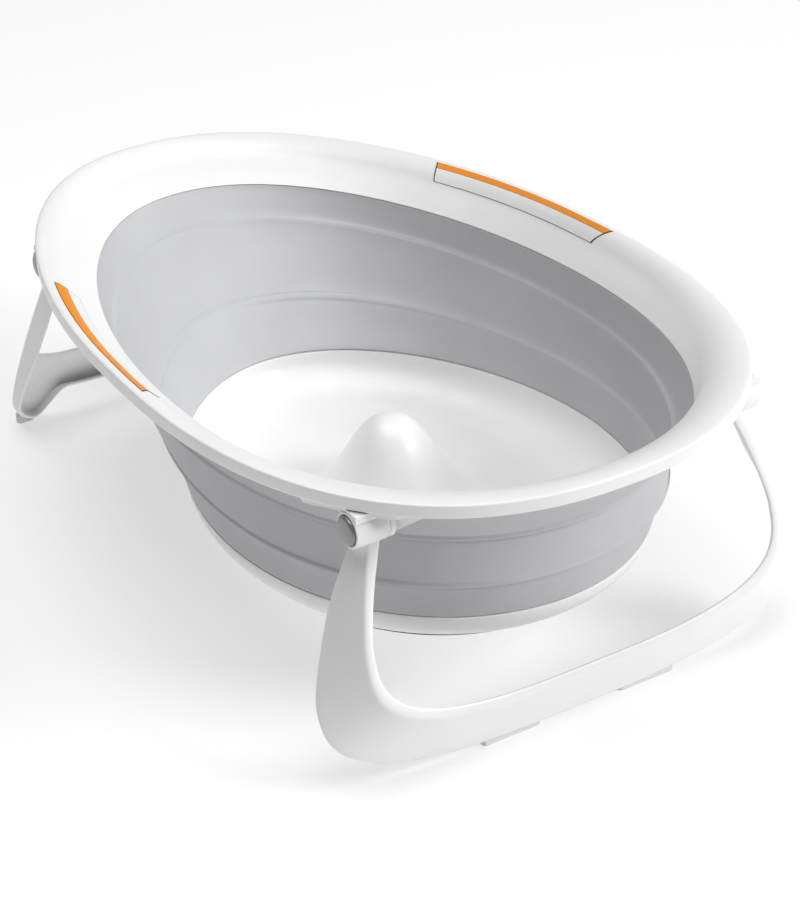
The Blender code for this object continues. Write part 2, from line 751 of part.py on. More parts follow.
def make_rim_room():
    """Everything above the rim's underside, with clearance."""
    above = [
        grown(RIM, 0.010, -LIP_DEPTH - TOUCH_GAP),
        grown(RIM, 0.010, 0.030),
        grown(COLLAR_FOOT, -0.030, 0.030),
        grown(COLLAR_FOOT, -0.030, COLLAR_FOOT[4] - TOUCH_GAP),
    ]
    return hoop("rim_room", above + rim_underside(TOUCH_GAP))


def make_boss_zone():
    """The space under the flange, from the middle of its thickness down to the bracket plates."""
    return hoop(
        "boss_zone",
        [
            grown(RIM, -0.0018, -0.0022),
            between(RIM, CREST, 0.60, -0.0058),
            between(RIM, CREST, 0.80, -0.0091),
            between(RIM, CREST, 0.80, -0.0101),
            grown(RIM, -0.0018, -0.0101),
        ],
    )


rim_collar = make_rim()
make_walls()
make_tray()
make_base_fittings()
under_rim = make_rim_room()
under_flange = make_boss_zone()
for leg_label, leg_values in LEGS.items():
    leg_body = make_leg(leg_label, leg_values)
    make_foot_pads(leg_label, leg_values, leg_body)
    make_hub(leg_label, leg_values)
    for leg_side in (1, -1):
        make_bracket(leg_label, leg_values, leg_side, rim_collar, under_rim, under_flange)
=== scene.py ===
"""Looks of the folding baby bathtub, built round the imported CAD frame."""

import json
import math

import bmesh
import bpy
from mathutils import Matrix, Vector


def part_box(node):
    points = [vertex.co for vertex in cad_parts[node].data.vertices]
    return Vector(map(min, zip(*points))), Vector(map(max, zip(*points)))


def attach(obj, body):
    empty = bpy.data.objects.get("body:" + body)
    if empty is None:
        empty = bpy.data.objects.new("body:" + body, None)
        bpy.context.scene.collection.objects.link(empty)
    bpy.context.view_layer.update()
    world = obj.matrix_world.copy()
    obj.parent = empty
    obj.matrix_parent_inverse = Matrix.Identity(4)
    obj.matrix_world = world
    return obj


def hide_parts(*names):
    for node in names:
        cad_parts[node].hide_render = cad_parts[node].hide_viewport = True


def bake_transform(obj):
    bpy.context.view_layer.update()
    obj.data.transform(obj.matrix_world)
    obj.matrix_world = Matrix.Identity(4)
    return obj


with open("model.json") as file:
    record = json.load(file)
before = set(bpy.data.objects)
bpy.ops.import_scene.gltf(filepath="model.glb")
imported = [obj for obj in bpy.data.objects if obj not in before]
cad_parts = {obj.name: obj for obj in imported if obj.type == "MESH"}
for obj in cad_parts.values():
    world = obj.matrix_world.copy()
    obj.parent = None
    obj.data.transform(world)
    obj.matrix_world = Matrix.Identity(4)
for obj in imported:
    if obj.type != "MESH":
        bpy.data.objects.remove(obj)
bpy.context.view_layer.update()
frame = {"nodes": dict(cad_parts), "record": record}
JOINTS = {joint["name"]: joint for joint in frame["record"]["behaviour"]["joints"]}

# ---- sizes shared with the CAD model, metres ----
GRIP_DEPTH = 0.1659          # from the rim's level down to the grip ring's top
RIM_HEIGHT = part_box("base_grip_ring")[1][2] + GRIP_DEPTH
RIM_HALF_LENGTH = 0.3400
LIP_DEPTH = 0.0108
LIP_WALL = 0.0030
WALL = 0.0022
TRAY_WALL = 0.0030

# Egg outlines: half length, half width, egg factor, centre in x, height under the rim, roundness, and the
# linear and quadratic rise of the outline towards the foot end.
RIM = (0.3400, 0.2190, 0.176, 0.0000, 0.0000, 2.26, 0.0074, -0.0057)
CREST = (0.3120, 0.1998, 0.174, -0.0042, -0.0115, 2.10, 0.0074, -0.0057)
COLLAR_FOOT = (0.2967, 0.1822, 0.115, 0.0220, -0.0281, 2.07, 0.0100, 0.0030)
FOLD_1 = (0.2722, 0.1817, 0.130, 0.0245, -0.0576, 2.07, 0.0, 0.0)
FOLD_2 = (0.2352, 0.1725, 0.135, 0.0548, -0.1000, 2.05, 0.0, 0.0)
BASE_EDGE = (0.2098, 0.1660, 0.095, 0.0726, -0.1302, 1.98, 0.0, 0.0)
BASE_FOOT = (0.1772, 0.1390, 0.095, 0.0720, -0.1656, 1.98, 0.0, 0.0)
FLOOR_DEPTH = 0.1585
BUMP_X = 0.0520
BUMP_HEIGHT = 0.0650
BUMP_RADIUS = 0.0410
BUMP_POWER = 3.0
DRAIN_RADIUS = 0.0145
PART_GAP = 0.0003            # between pieces that touch

RING = 144                   # points round each outline
OUTLINE_STEPS = 720          # steps that an outline is measured in before its points are spaced
TURNED_STEPS = 72            # points round a turned piece


# ---- materials ----
def new_material(name):
    material = bpy.data.materials.new(name)
    material.use_nodes = True
    tree = material.node_tree
    return material, tree, tree.nodes["Principled BSDF"]


def noise(tree, scale, detail):
    """A noise texture in object space, so that it stays put when the piece moves."""
    coords = tree.nodes.new("ShaderNodeTexCoord")
    node = tree.nodes.new("ShaderNodeTexNoise")
    node.inputs["Scale"].default_value = scale
    node.inputs["Detail"].default_value = detail
    tree.links.new(coords.outputs["Object"], node.inputs["Vector"])
    return node


def ramp(tree, source, low, high):
    """Maps a texture's 0.3 to 0.7 onto colours or grays low to high."""
    node = tree.nodes.new("ShaderNodeValToRGB")
    node.color_ramp.elements[0].position = 0.3
    node.color_ramp.elements[1].position = 0.7
    for element, colour in zip(node.color_ramp.elements, (low, high)):
        values = colour if isinstance(colour, tuple) else (colour, colour, colour)
        element.color = (*values, 1)
    tree.links.new(source, node.inputs["Fac"])
    return node


def bumps(tree, shader, layers):
    """Chains bump nodes, (noise scale, distance in metres, detail) each, into the shader's normal."""
    last = None
    for scale, distance, detail in layers:
        texture = noise(tree, scale, detail)
        node = tree.nodes.new("ShaderNodeBump")
        node.inputs["Strength"].default_value = 1.0
        node.inputs["Distance"].default_value = distance
        tree.links.new(texture.outputs["Fac"], node.inputs["Height"])
        if last is not None:
            tree.links.new(last.outputs["Normal"], node.inputs["Normal"])
        last = node
    tree.links.new(last.outputs["Normal"], shader.inputs["Normal"])


def plastic(name, low, high, rough, layers, subsurface=0.0, coat=0.0, metallic=0.0, spread=18.0):
    """A moulded plastic or rubber: mottled colour, uneven gloss and fine surface texture."""
    material, tree, shader = new_material(name)
    shader.inputs["Metallic"].default_value = metallic
    shader.inputs["Subsurface Weight"].default_value = subsurface
    shader.inputs["Subsurface Radius"].default_value = (0.004, 0.004, 0.004)
    shader.inputs["Coat Weight"].default_value = coat
    shader.inputs["Coat Roughness"].default_value = 0.25
    colour = ramp(tree, noise(tree, spread, 4.0).outputs["Fac"], low, high)
    tree.links.new(colour.outputs["Color"], shader.inputs["Base Color"])
    gloss = ramp(tree, noise(tree, spread * 3.1, 5.0).outputs["Fac"], *rough)
    tree.links.new(gloss.outputs["Color"], shader.inputs["Roughness"])
    bumps(tree, shader, layers)
    return material


WHITE = plastic(
    "white_polypropylene",
    (0.870, 0.870, 0.866),
    (0.895, 0.895, 0.892),
    (0.30, 0.40),
    [(9.0, 0.0006, 1.0), (1500.0, 0.000012, 2.0)],
    subsurface=0.05,
)
GRAY = plastic(
    "gray_elastomer",
    (0.500, 0.503, 0.520),
    (0.525, 0.528, 0.545),
    (0.52, 0.62),
    [(14.0, 0.0005, 1.0), (1100.0, 0.00003, 3.0)],
    subsurface=0.03,
)
DARK_RUBBER = plastic(
    "dark_rubber", (0.030, 0.030, 0.032), (0.045, 0.045, 0.048), (0.60, 0.75), [(900.0, 0.00004, 3.0)]
)
PAD_RUBBER = plastic(
    "pad_rubber", (0.70, 0.70, 0.69), (0.76, 0.76, 0.75), (0.55, 0.70), [(900.0, 0.00004, 3.0)]
)
PLUG_RUBBER = plastic(
    "plug_rubber", (0.40, 0.41, 0.43), (0.44, 0.45, 0.47), (0.50, 0.62), [(900.0, 0.00003, 3.0)]
)
BUTTON = plastic(
    "button_silver",
    (0.27, 0.27, 0.27),
    (0.31, 0.31, 0.31),
    (0.30, 0.38),
    [(1800.0, 0.000008, 2.0)],
    metallic=0.35,
    coat=0.15,
    spread=60.0,
)
STEEL = plastic(
    "plated_steel",
    (0.55, 0.55, 0.56),
    (0.63, 0.63, 0.64),
    (0.25, 0.36),
    [(2200.0, 0.000006, 2.0)],
    metallic=1.0,
    spread=120.0,
)
ORANGE = plastic(
    "label_orange", (0.86, 0.27, 0.010), (0.90, 0.30, 0.015), (0.40, 0.50), [(500.0, 0.00001, 2.0)]
)
LABEL_WHITE = plastic(
    "label_white", (0.84, 0.84, 0.83), (0.87, 0.87, 0.86), (0.40, 0.50), [(500.0, 0.00001, 2.0)]
)
LABEL_LINE = plastic(
    "label_line", (0.018, 0.018, 0.018), (0.024, 0.024, 0.024), (0.45, 0.55), [(500.0, 0.00001, 2.0)]
)


# ---- mesh tools ----
def new_object(name, mesh, material):
    obj = bpy.data.objects.new(name, mesh)
    mesh.materials.clear()
    mesh.materials.append(material)
    bpy.context.scene.collection.objects.link(obj)
    return obj


def mesh_of(shape, name, sharp=None):
    bmesh.ops.recalc_face_normals(shape, faces=shape.faces)
    mesh = bpy.data.meshes.new(name)
    shape.to_mesh(mesh)
    shape.free()
    mesh.shade_smooth()
    if sharp:
        mesh.set_sharp_from_angle(angle=math.radians(sharp))
    return mesh


def subdivide(obj, levels):
    modifier = obj.modifiers.new("smooth", "SUBSURF")
    modifier.levels = levels
    modifier.render_levels = levels
    return obj


def apply_modifiers(obj):
    depsgraph = bpy.context.evaluated_depsgraph_get()
    mesh = bpy.data.meshes.new_from_object(obj.evaluated_get(depsgraph))
    obj.modifiers.clear()
    obj.data = mesh
    return obj


def join_rings(shape, first, second):
    """Faces between two closed rings with the same number of points."""
    count = len(first)
    for i in range(count):
        j = (i + 1) % count
        shape.faces.new((first[i], first[j], second[j], second[i]))


# ---- outlines ----
def power(value, exponent):
    return math.copysign(abs(value) ** exponent, value)


def egg_point(section, angle):
    half_length, half_width, egg, centre, height, roundness, tilt, bow = section
    x = centre + half_length * power(math.cos(angle), 2 / roundness)
    y = half_width * power(math.sin(angle), 2 / roundness) * (1 + egg * math.cos(angle))
    share = x / RIM_HALF_LENGTH
    return Vector((x, y, RIM_HEIGHT + height + tilt * share + bow * share**2))


def grown(section, grow, height=None):
    """An outline that is wider all round by grow, at a height under the rim if one is given."""
    at = section[4] if height is None else height
    return (section[0] + grow, section[1] + grow, *section[2:4], at, *section[5:])


def between(first, second, share, height=None):
    """An outline part of the way from the first to the second."""
    values = [a + (b - a) * share for a, b in zip(first, second)]
    if height is not None:
        values[4] = height
    return tuple(values)


def ring(shape, section):
    """Points spaced evenly along the outline, so that the loft's faces stay even."""
    points = [egg_point(section, 2 * math.pi * i / OUTLINE_STEPS) for i in range(OUTLINE_STEPS + 1)]
    lengths = [0.0]
    for a, b in zip(points, points[1:]):
        lengths.append(lengths[-1] + (b - a).length)
    verts = []
    k = 0
    for i in range(RING):
        want = lengths[-1] * i / RING
        while lengths[k + 1] < want:
            k += 1
        share = (want - lengths[k]) / (lengths[k + 1] - lengths[k])
        verts.append(shape.verts.new(points[k].lerp(points[k + 1], share)))
    return verts


def hoop(name, sections, material, levels=2):
    """A closed band: a smooth loft through egg outlines and back to the first."""
    shape = bmesh.new()
    rings = [ring(shape, section) for section in sections]
    for first, second in zip(rings, rings[1:] + rings[:1]):
        join_rings(shape, first, second)
    return subdivide(new_object(name, mesh_of(shape, name), material), levels)


def turned(name, profile, material):
    """A solid turned about Z from (radius, height) points down its outer side, both ends on the axis."""
    shape = bmesh.new()
    angles = [2 * math.pi * i / TURNED_STEPS for i in range(TURNED_STEPS)]
    rings = []
    for radius, height in profile[1:-1]:
        rings.append([shape.verts.new((radius * math.cos(a), radius * math.sin(a), height)) for a in angles])
    for first, second in zip(rings, rings[1:]):
        join_rings(shape, first, second)
    for edge, height in ((rings[0], profile[0][1]), (rings[-1], profile[-1][1])):
        tip = shape.verts.new((0, 0, height))
        for i in range(TURNED_STEPS):
            shape.faces.new((edge[i], edge[(i + 1) % TURNED_STEPS], tip))
    return new_object(name, mesh_of(shape, name, 40), material)


# ---- rim ----
# The flange's top outlines, from the lip down to the collar, and how far along it each lies: 0 at the lip's
# inner edge, 1 at the crest and 2 at the collar's foot.
FLANGE = [
    grown(RIM, -0.0034, 0.0),
    between(RIM, CREST, 0.28, -0.0006),
    between(RIM, CREST, 0.46, -0.0020),
    between(RIM, CREST, 0.64, -0.0041),
    between(RIM, CREST, 0.82, -0.0071),
    between(RIM, CREST, 0.94, -0.0098),
    between(CREST, COLLAR_FOOT, 0.10, -0.0128),
    between(CREST, COLLAR_FOOT, 0.32, -0.0164),
    between(CREST, COLLAR_FOOT, 0.60, -0.0208),
]
FLANGE_MARKS = [0.0, 0.28, 0.46, 0.64, 0.82, 0.94, 1.10, 1.32, 1.60]
RIM_TOP = [
    grown(RIM, 0, -LIP_DEPTH + 0.0012),
    grown(RIM, 0, -0.0060),
    grown(RIM, 0, -0.0022),
    grown(RIM, -0.0001, -0.0011),
    grown(RIM, -0.0005, -0.0004),
    grown(RIM, -0.0013, -0.0001),
    *FLANGE,
    between(CREST, COLLAR_FOOT, 0.88, -0.0258),
    grown(COLLAR_FOOT, 0, -0.0277),
]
FLANGE_START = RIM_TOP.index(FLANGE[0])
RIM_UNDER = [
    grown(COLLAR_FOOT, 0.0006, -0.0281),
    grown(COLLAR_FOOT, LIP_WALL - 0.0006, -0.0281),
    grown(COLLAR_FOOT, LIP_WALL, -0.0275),
    grown(between(CREST, COLLAR_FOOT, 0.55), LIP_WALL, -0.0208),
    grown(CREST, 0.0015, -0.0146),
    between(RIM, CREST, 0.60, -0.0075),
    grown(RIM, -LIP_WALL - 0.0022, -0.0038),
    grown(RIM, -LIP_WALL - 0.0001, -0.0052),
    grown(RIM, -LIP_WALL, -LIP_DEPTH + 0.0012),
    grown(RIM, -LIP_WALL + 0.0005, -LIP_DEPTH),
    grown(RIM, -0.0005, -LIP_DEPTH),
]


def make_rim():
    rim = hoop("rim_shell", RIM_TOP + RIM_UNDER, WHITE)
    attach(rim, "root")
    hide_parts("rim_collar")


# ---- wall ----
WALL_STEP = 0.0026           # how far the band under a fold is set in
HINGE_STEP = 0.0016


def fold_ledge(fold):
    """The outside of a fold: a lip that stands out a little, the hinge line and the set-in band under it."""
    height = fold[4]
    return [
        grown(fold, 0.0002, height + 0.0050),
        grown(fold, 0.0014, height + 0.0020),
        grown(fold, 0.0010, height + 0.0004),
        grown(fold, -HINGE_STEP, height - 0.0002),
        grown(fold, -WALL_STEP - 0.0006, height - 0.0010),
        grown(fold, -WALL_STEP, height - 0.0034),
    ]


def make_wall():
    """One continuous soft wall in place of the three rigid bands, with a hinge line at each fold."""
    top = grown(COLLAR_FOOT, WALL, COLLAR_FOOT[4] - PART_GAP)
    middle = grown(FOLD_1, -WALL_STEP)
    low = grown(FOLD_2, -WALL_STEP)
    outside = [
        grown(COLLAR_FOOT, WALL + 0.0008, COLLAR_FOOT[4] - PART_GAP),
        grown(COLLAR_FOOT, WALL + 0.0008, COLLAR_FOOT[4] - 0.0020),
        between(top, FOLD_1, 0.12),
        between(top, FOLD_1, 0.50),
        between(top, FOLD_1, 0.86),
        *fold_ledge(FOLD_1),
        between(middle, FOLD_2, 0.10),
        between(middle, FOLD_2, 0.50),
        between(middle, FOLD_2, 0.90),
        *fold_ledge(FOLD_2),
        between(low, BASE_EDGE, 0.12),
        between(low, BASE_EDGE, 0.55),
        grown(BASE_EDGE, 0.0002, BASE_EDGE[4] + 0.0020),
        grown(BASE_EDGE, 0.0, BASE_EDGE[4]),
    ]
    middle_inside = grown(FOLD_1, -WALL_STEP - WALL)
    low_inside = grown(FOLD_2, -WALL_STEP - WALL)
    inside = [
        grown(BASE_EDGE, -TRAY_WALL, BASE_EDGE[4]),
        grown(BASE_EDGE, -WALL - 0.0006, BASE_EDGE[4] + 0.0020),
        between(low_inside, grown(BASE_EDGE, -WALL), 0.55),
        between(low_inside, grown(BASE_EDGE, -WALL), 0.12),
        grown(low_inside, 0, FOLD_2[4] - 0.0012),
        grown(low_inside, 0.0005, FOLD_2[4] + 0.0004),
        grown(FOLD_2, -WALL - 0.0012, FOLD_2[4] + 0.0012),
        grown(FOLD_2, -WALL - 0.0001, FOLD_2[4] + 0.0024),
        between(middle_inside, grown(FOLD_2, -WALL), 0.88),
        between(middle_inside, grown(FOLD_2, -WALL), 0.50),
        between(middle_inside, grown(FOLD_2, -WALL), 0.10),
        grown(middle_inside, 0, FOLD_1[4] + 0.0008),
        grown(middle_inside, 0.0008, FOLD_1[4] + 0.0020),
        grown(FOLD_1, -WALL - 0.0008, FOLD_1[4] + 0.0026),
        grown(FOLD_1, -WALL, FOLD_1[4] + 0.0038),
        between(grown(top, -WALL), grown(FOLD_1, -WALL), 0.82),
        between(grown(top, -WALL), grown(FOLD_1, -WALL), 0.45),
        grown(top, -WALL - 0.0001, COLLAR_FOOT[4] - 0.0020),
        grown(top, -WALL - 0.0001, COLLAR_FOOT[4] - PART_GAP),
    ]
    wall = apply_modifiers(hoop("soft_wall", outside + inside, GRAY))
    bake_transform(wall)
    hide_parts("wall_upper_band", "wall_middle_band", "wall_lower_band")


# ---- base ----
def bump_rise(radius):
    return BUMP_HEIGHT * math.exp(-((radius / BUMP_RADIUS) ** BUMP_POWER))


def floor_rings(drop, radii):
    """Outlines from the edge of the flat floor in to the bump's centre."""
    edge = grown(BASE_FOOT, -0.0110, -FLOOR_DEPTH + drop)
    centre = (0.0, 0.0, 0.0, BUMP_X, -FLOOR_DEPTH + drop, 2.0, 0.0, 0.0)
    rings = [edge, between(edge, centre, 0.20), between(edge, centre, 0.40)]
    for radius in radii:
        rings.append((radius, radius, 0.0, BUMP_X, -FLOOR_DEPTH + drop + bump_rise(radius), 2.0, 0.0, 0.0))
    return rings


def make_base():
    """The tray, one skin down its outside, under the bump and back up inside, with the drain cut."""
    edge = BASE_EDGE[4] - PART_GAP
    outside = [
        grown(BASE_EDGE, -0.0003, edge),
        grown(BASE_EDGE, 0.0, edge - 0.0006),
        grown(BASE_EDGE, -0.0003, -0.1345),
        grown(BASE_EDGE, -0.0020, -0.1415),
        between(BASE_EDGE, BASE_FOOT, 0.22, -0.1480),
        between(BASE_EDGE, BASE_FOOT, 0.45, -0.1545),
        between(BASE_EDGE, BASE_FOOT, 0.72, -0.1605),
        between(BASE_EDGE, BASE_FOOT, 0.93, -0.1640),
        grown(BASE_FOOT, -0.0002, -0.1653),
        grown(BASE_FOOT, -0.0012),
        grown(BASE_FOOT, -0.0076),
        grown(BASE_FOOT, -0.0084, -0.1650),
        grown(BASE_FOOT, -0.0096, -0.1625),
    ]
    inside = [
        grown(BASE_EDGE, -0.0008, edge),
        grown(BASE_EDGE, -TRAY_WALL + 0.0005, edge),
        grown(BASE_EDGE, -TRAY_WALL, edge - 0.0006),
        grown(BASE_EDGE, -0.0010 - TRAY_WALL, -0.1350),
        grown(BASE_EDGE, -0.0025 - TRAY_WALL, -0.1405),
        grown(between(BASE_EDGE, BASE_FOOT, 0.26), -TRAY_WALL, -0.1462),
        grown(between(BASE_EDGE, BASE_FOOT, 0.50), -TRAY_WALL, -0.1512),
        grown(between(BASE_EDGE, BASE_FOOT, 0.78), -TRAY_WALL, -0.1552),
        grown(BASE_FOOT, -0.0055, -0.1575),
    ]
    top = floor_rings(0.0, (0.068, 0.061, 0.055, 0.050, 0.045, 0.040, 0.035, 0.029, 0.022, 0.014, 0.007))
    under = floor_rings(-TRAY_WALL, (0.064, 0.056, 0.049, 0.042, 0.035, 0.028, 0.019, 0.010))
    shape = bmesh.new()
    above = [ring(shape, section) for section in reversed(inside + top)]
    below = [ring(shape, section) for section in outside + under]
    rings = above + below
    for first, second in zip(rings, rings[1:]):
        join_rings(shape, first, second)
    for edge_ring in (rings[0], rings[-1]):
        middle = sum((vert.co for vert in edge_ring), Vector()) / RING
        tip = shape.verts.new(middle + Vector((0, 0, 0.0004)))
        for i in range(RING):
            shape.faces.new((edge_ring[i], edge_ring[(i + 1) % RING], tip))
    base = subdivide(new_object("base_shell", mesh_of(shape, "base_shell"), WHITE), 1)
    apply_modifiers(base)
    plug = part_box("drain_plug")
    drill_end = 0.02
    drill = turned(
        "drain_drill",
        [(0, drill_end), (DRAIN_RADIUS, drill_end), (DRAIN_RADIUS, -drill_end), (0, -drill_end)],
        WHITE,
    )
    drill.location = ((plug[0][0] + plug[1][0]) / 2, 0, RIM_HEIGHT - FLOOR_DEPTH)
    cut = base.modifiers.new("drain", "BOOLEAN")
    cut.operation = "DIFFERENCE"
    cut.solver = "EXACT"
    cut.object = drill
    bpy.context.view_layer.update()
    apply_modifiers(base)
    bpy.data.objects.remove(drill, do_unlink=True)
    base.data.shade_smooth()
    base.data.set_sharp_from_angle(angle=math.radians(50))
    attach(base, "base")
    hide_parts("base_tray")
    make_grip()


def make_grip():
    """The dark non-slip ring under the tray's edge."""
    top_z = BASE_FOOT[4] - PART_GAP
    grip = [
        grown(BASE_FOOT, -0.0014, top_z),
        grown(BASE_FOOT, -0.0012, top_z - 0.0008),
        grown(BASE_FOOT, -0.0014, top_z - 0.0026),
        grown(BASE_FOOT, -0.0022, top_z - 0.0034),
        grown(BASE_FOOT, -0.0066, top_z - 0.0034),
        grown(BASE_FOOT, -0.0074, top_z - 0.0026),
        grown(BASE_FOOT, -0.0076, top_z - 0.0008),
        grown(BASE_FOOT, -0.0074, top_z),
    ]
    strip = hoop("grip_strip", grip, DARK_RUBBER, 1)
    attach(strip, "base")
    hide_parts("base_grip_ring")


# ---- legs ----
LEG_FRONT = 0.0030
LEG_DEPTH_AT = 0.0550
LEG_TAPER_AT = 0.1000
LEG_TOP = 0.0070
LEG_WALL = 0.0036
ARCH_FROM = 0.1200
ARCH_TO = 0.1430
HUB_RADIUS = 0.0132
POCKET_RADIUS = 0.0109
POCKET_DEPTH = 0.0125
# Each leg's outlines: half width at the top, widest half width, depth of the widest point, bottom, corner,
# sweep and the arch under the middle of the bar.
LEGS = {
    "front": {
        "inner_front": (0.1480, 0.1720, 0.088, 0.1500, 3.1, 1.4, 0.0),
        "outer_front": (0.1590, 0.1805, 0.092, 0.1590, 3.1, 1.4, 0.0),
        "outer_back": (0.1610, 0.2090, 0.118, 0.1900, 3.0, 1.2, 0.0),
        "end": 1,
        "splay": 20.0,
        "face": 0.1725,
        "hub": 0.0265,
        "deep": (0.0150, 0.0280, 0.0280),
        "foot": 0.1900,
    },
    "rear": {
        "inner_front": (0.1437, 0.1510, 0.100, 0.1280, 3.4, 1.6, 0.0),
        "outer_front": (0.1500, 0.1625, 0.150, 0.2090, 4.4, 1.6, 0.0320),
        "outer_back": (0.1505, 0.1645, 0.140, 0.2062, 4.4, 1.6, 0.0460),
        "end": -1,
        "splay": 24.5,
        "face": 0.1597,
        "hub": 0.0165,
        "deep": (0.0150, 0.0200, 0.0090),
        "foot": 0.1955,
    },
}


def outline_point(outline, station, inset=0.0):
    """(half width, depth) of a leg outline: station runs 0 to 1 down the arm, then to 2 at mid bar."""
    top_width, width, widest, bottom, corner, sweep, arch = outline
    top_width -= inset
    width -= inset
    bottom -= inset
    if station <= 1:
        depth = LEG_TOP + (widest - LEG_TOP) * station
        return width - (width - top_width) * (1 - station) ** sweep, depth
    turn = (station - 1) * math.pi / 2
    half = width * math.cos(turn) ** (2 / corner)
    share = min(1.0, max(0.0, (ARCH_TO - half) / (ARCH_TO - ARCH_FROM)))
    lift = arch * share**2 * (3 - 2 * share)
    return half, widest + (bottom - widest) * math.sin(turn) ** (2 / corner) - lift


def back_offset(leg, depth):
    """How far the flange reaches behind the hinge's plane at a depth down the leg."""
    top, full, foot = leg["deep"]
    share = min(1.0, max(0.0, (depth - LEG_TOP) / (LEG_DEPTH_AT - LEG_TOP)))
    taper = min(1.0, max(0.0, (depth - LEG_TAPER_AT) / (leg["foot"] - LEG_TAPER_AT)))
    return top + (full - top) * share + (foot - full) * taper


# The leg's section, round from the plate's inner edge: outline, how far back as a share of the flange, the
# blend with a second outline, how far in from the outline and how far behind the front face.
LEG_SECTION = [
    ("inner_front", 0.00, 0.03, "outer_front", 0.0, 0.0020),
    ("inner_front", 0.00, 0.02, "outer_front", 0.0, 0.0007),
    ("inner_front", 0.00, 0.16, "outer_front", 0.0, 0.0),
    ("inner_front", -0.01, 0.50, "outer_front", 0.0, 0.0),
    ("inner_front", 0.01, 0.86, "outer_front", 0.0, 0.0),
    ("outer_front", 0.09, 0.03, "outer_back", 0.0, 0.0),
    ("outer_front", 0.25, 0.18, "outer_back", 0.0, 0.0),
    ("outer_front", 0.50, 0.44, "outer_back", 0.0, 0.0),
    ("outer_front", 0.75, 0.72, "outer_back", 0.0, 0.0),
    ("outer_front", 0.93, 0.94, "outer_back", 0.0, 0.0),
    ("outer_back", 0.985, 0.0, "outer_front", 0.0002, 0.0),
    ("outer_back", 1.0, 0.0, "outer_front", 0.0010, 0.0),
    ("outer_back", 1.0, 0.0, "outer_front", 0.0026, 0.0),
    ("outer_back", 0.975, 0.0, "outer_front", 0.0036, 0.0),
    ("outer_front", 0.75, 0.72, "outer_back", 0.0036, 0.0),
    ("outer_front", 0.42, 0.38, "outer_back", 0.0036, 0.0),
    ("outer_front", 0.00, 0.0, "outer_back", 0.0040, 0.0052),
    ("outer_front", 0.00, 0.0, "outer_back", 0.0052, 0.0037),
    ("inner_front", 0.00, 0.30, "outer_front", 0.0, 0.0036),
    ("inner_front", 0.00, 0.06, "outer_front", 0.0, 0.0034),
]


def leg_section(leg, pivot, station, side):
    """The section's corners at one station of one arm, round the hollow L of plate and flange."""
    splay = math.radians(leg["splay"])
    down = Vector((leg["end"] * math.sin(splay), 0, -math.cos(splay)))
    front = Vector((leg["end"] * math.cos(splay), 0, math.sin(splay)))
    corners = []
    for first, out, share, second, inset, behind in LEG_SECTION:
        half, depth = outline_point(leg[first], station, inset)
        other_half, other_depth = outline_point(leg[second], station, inset)
        half += (other_half - half) * share
        depth += (other_depth - depth) * share
        offset = LEG_FRONT - out * (back_offset(leg, depth) + LEG_FRONT) - behind
        corners.append(pivot + Vector((0, side * half, 0)) + down * depth + front * offset)
    return corners


def make_leg(label, leg):
    body = label + "_leg"
    pivot = Vector(JOINTS[label + "_leg_fold"]["pos_m"])
    pivot.y = 0
    stations = [i / 10 for i in range(10)]
    stations += [1 + i / 24 for i in range(25)]
    walk = [(station, 1) for station in stations]
    walk += [(station, -1) for station in reversed(stations[:-1])]
    shape = bmesh.new()
    rings = []
    for station, side in walk:
        rings.append([shape.verts.new(corner) for corner in leg_section(leg, pivot, station, side)])
    for first, second in zip(rings, rings[1:]):
        join_rings(shape, first, second)
    shape.faces.new(rings[0])
    shape.faces.new(rings[-1])
    name = label + "_leg_shell"
    shell = subdivide(new_object(name, mesh_of(shape, name), WHITE), 2)
    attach(shell, body)
    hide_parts(body)
    for side, side_name in ((1, "left"), (-1, "right")):
        make_hub(label, side_name, side, leg, pivot)


def make_hub(label, side_name, side, leg, pivot):
    """The barrel at the top of an arm, its pocket open outwards, and the button's cap in it."""
    tag = f"{label}_{side_name}"
    outward = Matrix.Rotation(-side * math.pi / 2, 4, "X")
    length = leg["hub"]
    barrel = [
        (0.0, -POCKET_DEPTH),
        (POCKET_RADIUS, -POCKET_DEPTH),
        (POCKET_RADIUS, -0.0010),
        (POCKET_RADIUS + 0.0003, -0.0003),
        (POCKET_RADIUS + 0.0008, 0.0),
        (HUB_RADIUS - 0.0008, 0.0),
        (HUB_RADIUS - 0.0002, -0.0003),
        (HUB_RADIUS, -0.0010),
        (HUB_RADIUS, -length + 0.0008),
        (HUB_RADIUS - 0.0003, -length + 0.0002),
        (HUB_RADIUS - 0.0008, -length),
        (0.0, -length),
    ]
    hub = turned("hub_barrel_" + tag, barrel, WHITE)
    hub.matrix_world = Matrix.Translation(pivot + Vector((0, side * leg["face"], 0))) @ outward
    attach(hub, label + "_leg")

    low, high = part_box("release_button_" + tag)
    face = high[1] if side > 0 else -low[1]
    radius = (high[0] - low[0]) / 2
    cap = [
        (0.0, 0.0),
        (radius * 0.45, -0.00012),
        (radius * 0.72, -0.00035),
        (radius * 0.84, -0.00060),
        (radius * 0.93, -0.00105),
        (radius * 0.98, -0.00180),
        (radius, -0.0030),
        (radius, -0.0056),
        (radius - 0.0004, -0.0060),
        (0.0, -0.0060),
    ]
    button = turned("button_cap_" + tag, cap, BUTTON)
    button.matrix_world = Matrix.Translation(pivot + Vector((0, side * face, 0))) @ outward
    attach(button, "button_" + tag)
    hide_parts("release_button_" + tag)


# ---- labels ----
STICKER_THICKNESS = 0.00012
BORDER_LIFT = 0.00026
FACE_LIFT = 0.00040
BORDER_ANGLE = 0.004         # the dark border's width at a label's ends, radians
BORDER_SHARE = 0.016         # the dark border's width along its long sides, as a share of the flange


